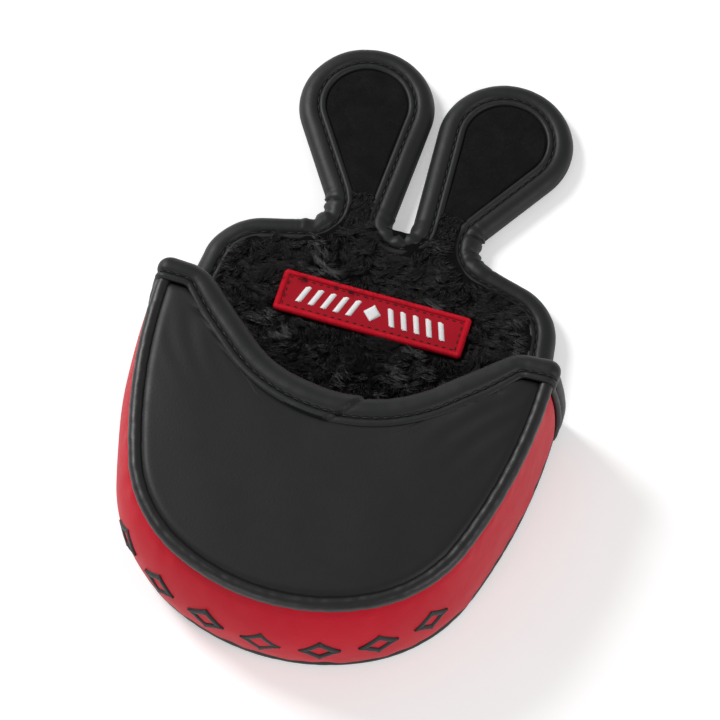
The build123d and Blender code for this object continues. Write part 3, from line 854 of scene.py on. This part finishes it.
def even_rows(start, end, step, fine):
    """Rows from start to end, closer together at both ends."""
    count = int(abs(end - start) / step)
    share = np.linspace(0, 1, count)
    eased = (1 - np.cos(share * pi)) / 2
    return start + (end - start) * (share * (1 - fine) + eased * fine)


FLAP_END = EAR_FOLD_Y - 1.95
PAD_SEAM = EAR_FOLD_Y + 6.1

ys = even_rows(TOE_Y - 1.8 + 0.02, FLAP_END, 1.1, 0.6)
width = tongue_width(ys, 1.8, 1.0, -9, -2)
base_leather = slab(
    "base_leather", ys, -width, width,
    lambda x, y: 0.12 + 0.10 * (1 + mottle(x, y, 18, 61)) * 0.5,
    lambda x, y: FOAM_Z + 0 * x,
)
dress(base_leather, panel_leather)
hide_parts("base_skin", "base_foam", "flap_skin", "flap_foam")
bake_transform(base_leather)


def plush_face(x, y):
    """Height of the plush's backing on the floor and flap."""
    return FLOOR_Z - 0.1 + 0.28 * mottle(x, y, 9, 71) + 0.12 * mottle(x, y, 3.5, 72)


ys = even_rows(TOE_Y + 0.6, FLAP_END, 0.9, 0.5)
width = tongue_width(ys, -0.6, 7.3, -13, -5)
floor_plush = slab("floor_plush", ys, -width, width, lambda x, y: FOAM_Z + 0.05 + 0 * x, plush_face, 90)
dress(floor_plush, plush)
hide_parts("base_lining", "flap_lining")
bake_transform(floor_plush)


def scatter(x_low, x_high, y_low, y_high, pitch, seed):
    """Places in a box, pitch apart and jittered."""
    draw = np.random.default_rng(seed)
    x, y = np.meshgrid(np.arange(x_low, x_high, pitch), np.arange(y_low, y_high, pitch * 0.87))
    x = x + pitch / 2 * (np.arange(x.shape[0]) % 2)[:, None]
    x, y = x.ravel(), y.ravel()
    return x + draw.uniform(-0.4, 0.4, x.size) * pitch, y + draw.uniform(-0.4, 0.4, y.size) * pitch


def lean_field(x, y, seed):
    """Which way the pile lies, as it swirls slowly over the cloth."""
    swirl = 1.6 * mottle(x, y, 24, seed) + 0.9 * mottle(x, y, 8, seed + 1) - 1.2
    return np.stack([np.cos(swirl), np.sin(swirl), 0 * x], 1)


x, y = scatter(-60, 60, -8.5, FLAP_END - 0.2, 1.7, 81)
near_patch = (np.abs(x) < PATCH_WIDTH / 2 + 0.4) & (np.abs(y - PATCH_Y) < PATCH_DEPTH / 2 + 0.4)
keep = (np.abs(x) < tongue_width(y, -0.6, 8.4, -13, -5)) & ~near_patch
keep &= np.hypot(x, y - EAR_FOLD_Y - 1.2) > 11.4
x, y = x[keep], y[keep]
roots = np.stack([x, y, plush_face(x, y)], 1)
flap_pile = pile("flap_pile", roots, lean_field(x, y, 82), 4.4, 83, 22, 1.5)
dress(flap_pile, plush_fibre)
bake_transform(flap_pile)

x, y = scatter(-58, 58, -92, -8.5, 1.9, 84)
keep = (np.abs(x) < rim_x(y, -2.6)) & (y > TOE_Y + 3)
x, y = x[keep], y[keep]
roots = np.stack([x, y, plush_face(x, y)], 1)
floor_pile = pile("floor_pile", roots, lean_field(x, y, 85), 4.2, 86, 16, 1.6, 0.15)
dress(floor_pile, plush_fibre)
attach(floor_pile, "pouch")


def sewn_binding(name, stitch_name, stations, top, seed, flip, scrunched=0.0):
    """A binding round an edge of the tongue, up to its top, and the binding's topstitching."""
    x, y, flat = stations[:, 0], stations[:, 1], np.zeros(len(stations))
    out = np.stack([x, y, top + flat], 1)
    under = np.stack([x, y, 0.05 + flat], 1)
    off = np.stack([-stations[:, 2], -stations[:, 3], flat], 1)
    run, inset = run_of(stations[:, :2])[:, None], FOLD[:, 0][None]
    swell = 0.08 * mottle(run, inset * 2, 15, seed) + 0.02 * ripple(run, 6, seed + 1)
    swell = (swell + scrunched) * FRONT[None]
    binding = loft(name, folded(out, under, off, swell) * flip)
    dress(binding, binding_leather)
    return binding, stitches(stitch_name, out * flip, under * flip, off * flip, swell[:, seam_point])


def gathers(stations, run):
    """How far the leather is scrunched at each station: most where the edge bends inwards."""
    hollow = (stations[:, 4] < -0.05).astype(float)
    spacing = max(np.median(np.diff(run)), 1e-3)
    window = np.exp(-((np.arange(-60, 61) * spacing / 2.6) ** 2))
    spread_out = np.convolve(np.pad(hollow, 60, mode="edge"), window / window.sum(), mode="valid")
    return np.clip(spread_out * 1.25, 0, 1)


# the flap's binding at each side runs from under the mouth's corner to the root of the ear
ears_from = np.argmax(BELT[:, 1] > EAR_FOLD_Y - 7.0)
flap_part = BELT[(np.arange(len(BELT)) <= ears_from + 1) & (BELT[:, 1] > MOUTH_Y - 8.5)]
ear_part = BELT[ears_from:]
for side, sign, seeds in (("right", 1.0, 0), ("left", -1.0, 500)):
    flip = np.array((sign, 1.0, 1.0))
    binding, sewn = sewn_binding(
        f"{side}_flap_binding", f"{side}_flap_topstitch", flap_part, FLOOR_Z - 0.05, 91 + seeds, flip,
    )
    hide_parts("flap_binding")
    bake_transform(binding)
    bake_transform(sewn)

    # the ear's binding, gathered round the neck and in the notch
    run = run_of(ear_part[:, :2])
    top = FLOOR_Z - 0.05 - 0.95 * step_up(run, 2, 16) + 0.95 * step_up(run, run[-1] - 8, run[-1])
    scrunch = gathers(ear_part, run)[:, None]
    inset = FOLD[:, 0][None]
    reach_in = np.clip(1 - inset / 7.5, 0, 1)
    phase = pi * run[:, None] / 3.3 + 1.2 * ripple(run[:, None], 9, 94 + seeds) + 0.10 * inset
    folds = np.abs(np.sin(phase)) ** 0.7
    creases = np.abs(np.sin(1.9 * phase + 0.25 * inset + 1.0)) ** 0.8
    scrunched = scrunch * (1.25 * folds * reach_in**0.8 + 0.25 * creases * reach_in**0.4 - 0.7 * reach_in)
    binding, sewn = sewn_binding(
        f"{side}_ear_binding_roll", f"{side}_ear_topstitch", ear_part, top, 96 + seeds, flip, scrunched,
    )
    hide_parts(f"{side}_ear_binding")
    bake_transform(binding)
    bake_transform(sewn)

    # the ear's leather back with its foam
    tip = half_edge(1.0)[0][-1, 1]
    ys = even_rows(FLAP_END - 0.6, tip - 0.005, 0.8, 0.8)
    near, far = inner_x(ys, 1.0), outer_x(ys, 1.0)
    back = slab(
        f"{side}_ear_back", ys, sign * near, sign * far,
        lambda x, y: 0.12 + 0.10 * (1 + mottle(x, y, 14, 101)) * 0.5,
        lambda x, y: FOAM_Z - 0.1 + 0 * x, 30,
    )
    dress(back, panel_leather)
    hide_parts(f"{side}_ear_skin", f"{side}_ear_foam")
    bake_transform(back)

    # plush that runs from the flap through the neck to the pad's lower seam
    def neck_face(x, y):
        drop = 0.2 + 1.0 * step_up(y, EAR_FOLD_Y - 0.5, EAR_FOLD_Y + 6.5)
        return FLOOR_Z - drop + 0.2 * mottle(x, y, 5, 102)

    ys = np.linspace(FLAP_END - 0.6, PAD_SEAM + 1.9, 24)
    near, far = inner_x(ys, 7.4), outer_x(ys, 7.4)
    neck = slab(
        f"{side}_neck_plush", ys, sign * near, sign * far, lambda x, y: FOAM_Z - 0.05 + 0 * x, neck_face, 16,
    )
    dress(neck, plush)
    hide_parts(f"{side}_ear_fleece")
    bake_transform(neck)
    x, y = scatter(8, 24, FLAP_END - 0.4, PAD_SEAM + 1.2, 1.1, 103 + seeds)
    keep = (x > inner_x(y, 8.2)) & (x < outer_x(y, 8.2))
    x, y = x[keep], y[keep]
    roots = np.stack([sign * x, y, neck_face(sign * x, y)], 1)
    leaning = np.tile((0.1, 0.6, 0.0), (len(x), 1)) + 0.5 * lean_field(x, y, 104 + seeds)
    neck_pile = pile(f"{side}_neck_pile", roots, leaning, 1.9, 105 + seeds, 20, 1.0)
    dress(neck_pile, plush_fibre)
    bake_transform(neck_pile)

    # the velvet pad, crowned, with the magnet's faint round mark
    outer, inner = half_edge(7.5)
    outer, inner = outer[outer[:, 1] > PAD_SEAM], inner[inner[:, 1] > PAD_SEAM]
    shape = np.vstack([outer, inner[::-1][1:]])
    length = run_of(shape)
    shape = at_runs(shape, length, np.linspace(0, length[-1], 220))
    foot = np.linspace(shape[-1], shape[0], 14)[1:-1]
    shape = np.vstack([shape, foot])
    heart = np.array((EAR_X * 0.96, EAR_Y - 8.0))

    def pad_face(x, y, inset):
        from_magnet = np.hypot(x - EAR_X, y - MAGNET_Y)
        mark = 0.16 * np.exp(-(((from_magnet - 5.6) / 0.75) ** 2)) - 0.10 * step_up(5.2 - from_magnet, 0, 1.5)
        crown = 4.6 + 0.75 * (1 - np.exp(-((inset / 1.2) ** 2))) + 0.35 * (1 - np.exp(-inset / 5))
        return crown - mark + 0.05 * mottle(x, y, 8, 111 + seeds)

    rings = []
    reach = np.linalg.norm(shape - heart, axis=1)
    for share in 1 - (1 - np.linspace(0, 1, 36)) ** 1.6:
        place = heart + (shape - heart) * share
        rings.append(np.column_stack([place, pad_face(*place.T, reach * (1 - share))]))
    for share in (1.0, 0.97, 0.6, 0.0):
        place = heart + (shape - heart) * share
        rings.append(np.column_stack([place, np.full(len(place), FOAM_Z - 0.12)]))
    pad = loft(f"{side}_velvet_pad", np.array(rings) * flip)
    dress(pad, velvet)
    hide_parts(f"{side}_ear_pad")
    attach(pad, f"{side}_ear")


# ---- the patch ----
def patch_lift(x, y):
    """Height of the patch's underside: it lies on the plush and follows its lumps a little."""
    return FLOOR_Z + 0.55 + 0.18 * mottle(x, y, 42, 121)


def patch_edge(inset, step):
    """Points round the patch's edge, moved inwards, and the way out of it."""
    half_w, half_d, radius = PATCH_WIDTH / 2 - inset, PATCH_DEPTH / 2 - inset, max(1.2 - inset, 0.25)
    rows = []
    for corner, (sx, sy) in enumerate(((1, -1), (1, 1), (-1, 1), (-1, -1))):
        for angle in np.radians(np.linspace(-90 + 90 * corner, 90 * corner, 7)):
            rows.append((
                sx * (half_w - radius) + radius * cos(angle),
                PATCH_Y + sy * (half_d - radius) + radius * sin(angle),
                cos(angle), sin(angle),
            ))
    rows = np.array(rows + rows[:1])
    run = run_of(rows[:, :2])
    spaced = at_runs(rows, run, np.linspace(0, run[-1], int(run[-1] / step), endpoint=False))
    spaced[:, 2:] /= np.linalg.norm(spaced[:, 2:], axis=1, keepdims=True)
    return spaced


half_w, half_d = PATCH_WIDTH / 2 - PATCH_BORDER, PATCH_DEPTH / 2 - PATCH_BORDER
ys = np.linspace(PATCH_Y - half_d, PATCH_Y + half_d, 26)
patch = slab(
    "patch_twill_cloth", ys, np.full(26, -half_w), np.full(26, half_w),
    patch_lift, lambda x, y: patch_lift(x, y) + 0.8, 70,
)
dress(patch, patch_twill)
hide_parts("patch_cloth")
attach(patch, "flap")

border = patch_edge(0.0, 0.40)
core = patch_edge(0.75, 0.6)
around = np.linspace(0, 2 * pi, 12, endpoint=False)
core_z = patch_lift(core[:, 0], core[:, 1])[:, None] + 0.55
rings = np.stack([
    core[:, 0:1] + core[:, 2:3] * 0.72 * np.cos(around),
    core[:, 1:2] + core[:, 3:4] * 0.72 * np.cos(around),
    core_z + 0.52 * np.sin(around),
], 2)
rings = np.concatenate([rings, rings[:1]])
border_core = dress(loft("patch_border_core", rings), border_thread)
lines = []
for x, y, nx, ny in border:
    z = patch_lift(x, y)
    tx, ty = -ny * 0.35, nx * 0.35
    lines.append([
        (x - nx * back + tx * slant, y - ny * back + ty * slant, z + rise)
        for back, rise, slant in (
            (1.62, 0.62, -0.9), (1.30, 1.02, -0.6), (0.85, 1.22, -0.2), (0.35, 1.05, 0.2), (0.0, 0.62, 0.5),
            (0.02, 0.15, 0.7), (0.35, -0.1, 0.9),
        )
    ])
border_loops = dress(tubes("patch_border_loops", lines, 0.235, 0), border_thread)
inner_line = patch_edge(2.15, 0.05)
lines = []
for start in range(0, len(inner_line) - 30, 46):
    rows = inner_line[start:start + 30:7]
    z = patch_lift(rows[:, 0], rows[:, 1]) + 0.8
    lines.append(np.column_stack([rows[:, :2], z + np.array([-0.25, 0.08, 0.12, 0.08, -0.25])[: len(rows)]]))
patch_stitch = dress(tubes("patch_inner_stitch", lines, 0.16, 0), topstitch)


def satin(outline, direction, pitch, lift, arch, on_surface):
    """Satin stitch over a four-sided figure: close parallel threads, each slightly arched."""
    outline = np.asarray(outline, float)
    direction = np.asarray(direction, float) / np.hypot(*direction)
    across = np.array((-direction[1], direction[0]))
    spans = outline @ across
    lines = []
    for level in np.arange(spans.min() + pitch / 2, spans.max(), pitch):
        hits = []
        for a, b in zip(outline, np.roll(outline, -1, axis=0)):
            sa, sb = a @ across - level, b @ across - level
            if sa * sb < 0:
                hits.append((a + (b - a) * sa / (sa - sb)) @ direction)
        if len(hits) >= 2:
            share = np.linspace(0, 1, 5)
            flat = across * level + np.outer(min(hits) + (max(hits) - min(hits)) * share, direction)
            lines.append(on_surface(flat, lift + arch * np.sin(share * pi) ** 0.6))
    return lines


def on_patch(flat, lift):
    """Points above the patch's cloth, from their place about its middle."""
    x, y = flat[:, 0], flat[:, 1] + PATCH_Y
    return np.column_stack([x, y, patch_lift(x, y) + 0.8 + lift])


diamond = [(DIAMOND_HALF, 0), (0, DIAMOND_HALF), (-DIAMOND_HALF, 0), (0, -DIAMOND_HALF)]
lines = satin(diamond, (1, 0), 0.30, -0.05, 0.30, on_patch)
slant = EMBLEM_HALF * sin(radians(20))
for number in range(BARS_PER_SIDE):
    middle = (number + 1.5) * BAR_PITCH
    for side in (-1, 1):
        bar = [
            (side * (middle + slant - BAR_HALF_WIDTH), -EMBLEM_HALF),
            (side * (middle + slant + BAR_HALF_WIDTH), -EMBLEM_HALF),
            (side * (middle + BAR_HALF_WIDTH - slant), EMBLEM_HALF),
            (side * (middle - BAR_HALF_WIDTH - slant), EMBLEM_HALF),
        ]
        lines += satin(bar, (1, 0.12 * side), 0.30, -0.05, 0.30, on_patch)
emblem = dress(tubes("patch_emblem_stitching", lines, 0.19), emblem_thread)
for piece, node in ((border_core, "patch_border"), (border_loops, "patch_border"), (emblem, "patch_emblem")):
    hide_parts(node)
for piece in (border_core, border_loops, patch_stitch, emblem):
    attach(piece, "flap")


# ---- embroidered lozenges round the toe ----
def on_wall(flat, lift):
    """Points on the wall from their run along it from the toe's middle and their height."""
    run, z = flat[:, 0], flat[:, 1] + LOZENGE_Z
    toe_run = (TOE_RADIUS + WALL_BULGE) * radians(90 - FULL_TURN)
    side, far = np.sign(run + 1e-12), np.abs(run)
    on_toe = far < toe_run
    turn = np.where(
        on_toe, far / (TOE_RADIUS + WALL_BULGE),
        radians(90 - FULL_TURN) + (far - toe_run) / (CORNER_RADIUS + WALL_BULGE),
    )
    x0, y0 = np.where(on_toe, 0, CORNER_X), np.where(on_toe, TOE_CENTRE_Y, CORNER_Y)
    rim_radius = np.where(on_toe, TOE_RADIUS, CORNER_RADIUS)
    rim_at = side * (x0 + rim_radius * np.sin(turn)), y0 - rim_radius * np.cos(turn)
    radius = rim_radius + wall_face(z, *rim_at, lift)
    return np.column_stack([side * (x0 + radius * np.sin(turn)), y0 - radius * np.cos(turn), z])


lines = []
outer_w, outer_h = LOZENGE_HALF_WIDTH, LOZENGE_HALF_HEIGHT
inner_w = outer_w - LOZENGE_STROKE * hypot(outer_w, outer_h) / outer_h
inner_h = outer_h * inner_w / outer_w
for number in range(-LOZENGES_PER_SIDE, LOZENGES_PER_SIDE + 1):
    middle = number * LOZENGE_PITCH
    for sx, sy in ((1, 1), (-1, 1), (-1, -1), (1, -1)):
        arm = [
            (middle + sx * outer_w, 0), (middle, sy * outer_h),
            (middle, sy * inner_h), (middle + sx * inner_w, 0),
        ]
        lines += satin(arm, (sx * outer_h * 0.9, sy * outer_w), 0.36, -0.18, 0.55, on_wall)
lozenges = dress(tubes("wall_lozenge_stitching", lines, 0.23), wall_thread)
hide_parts("wall_embroidery")
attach(lozenges, "pouch")
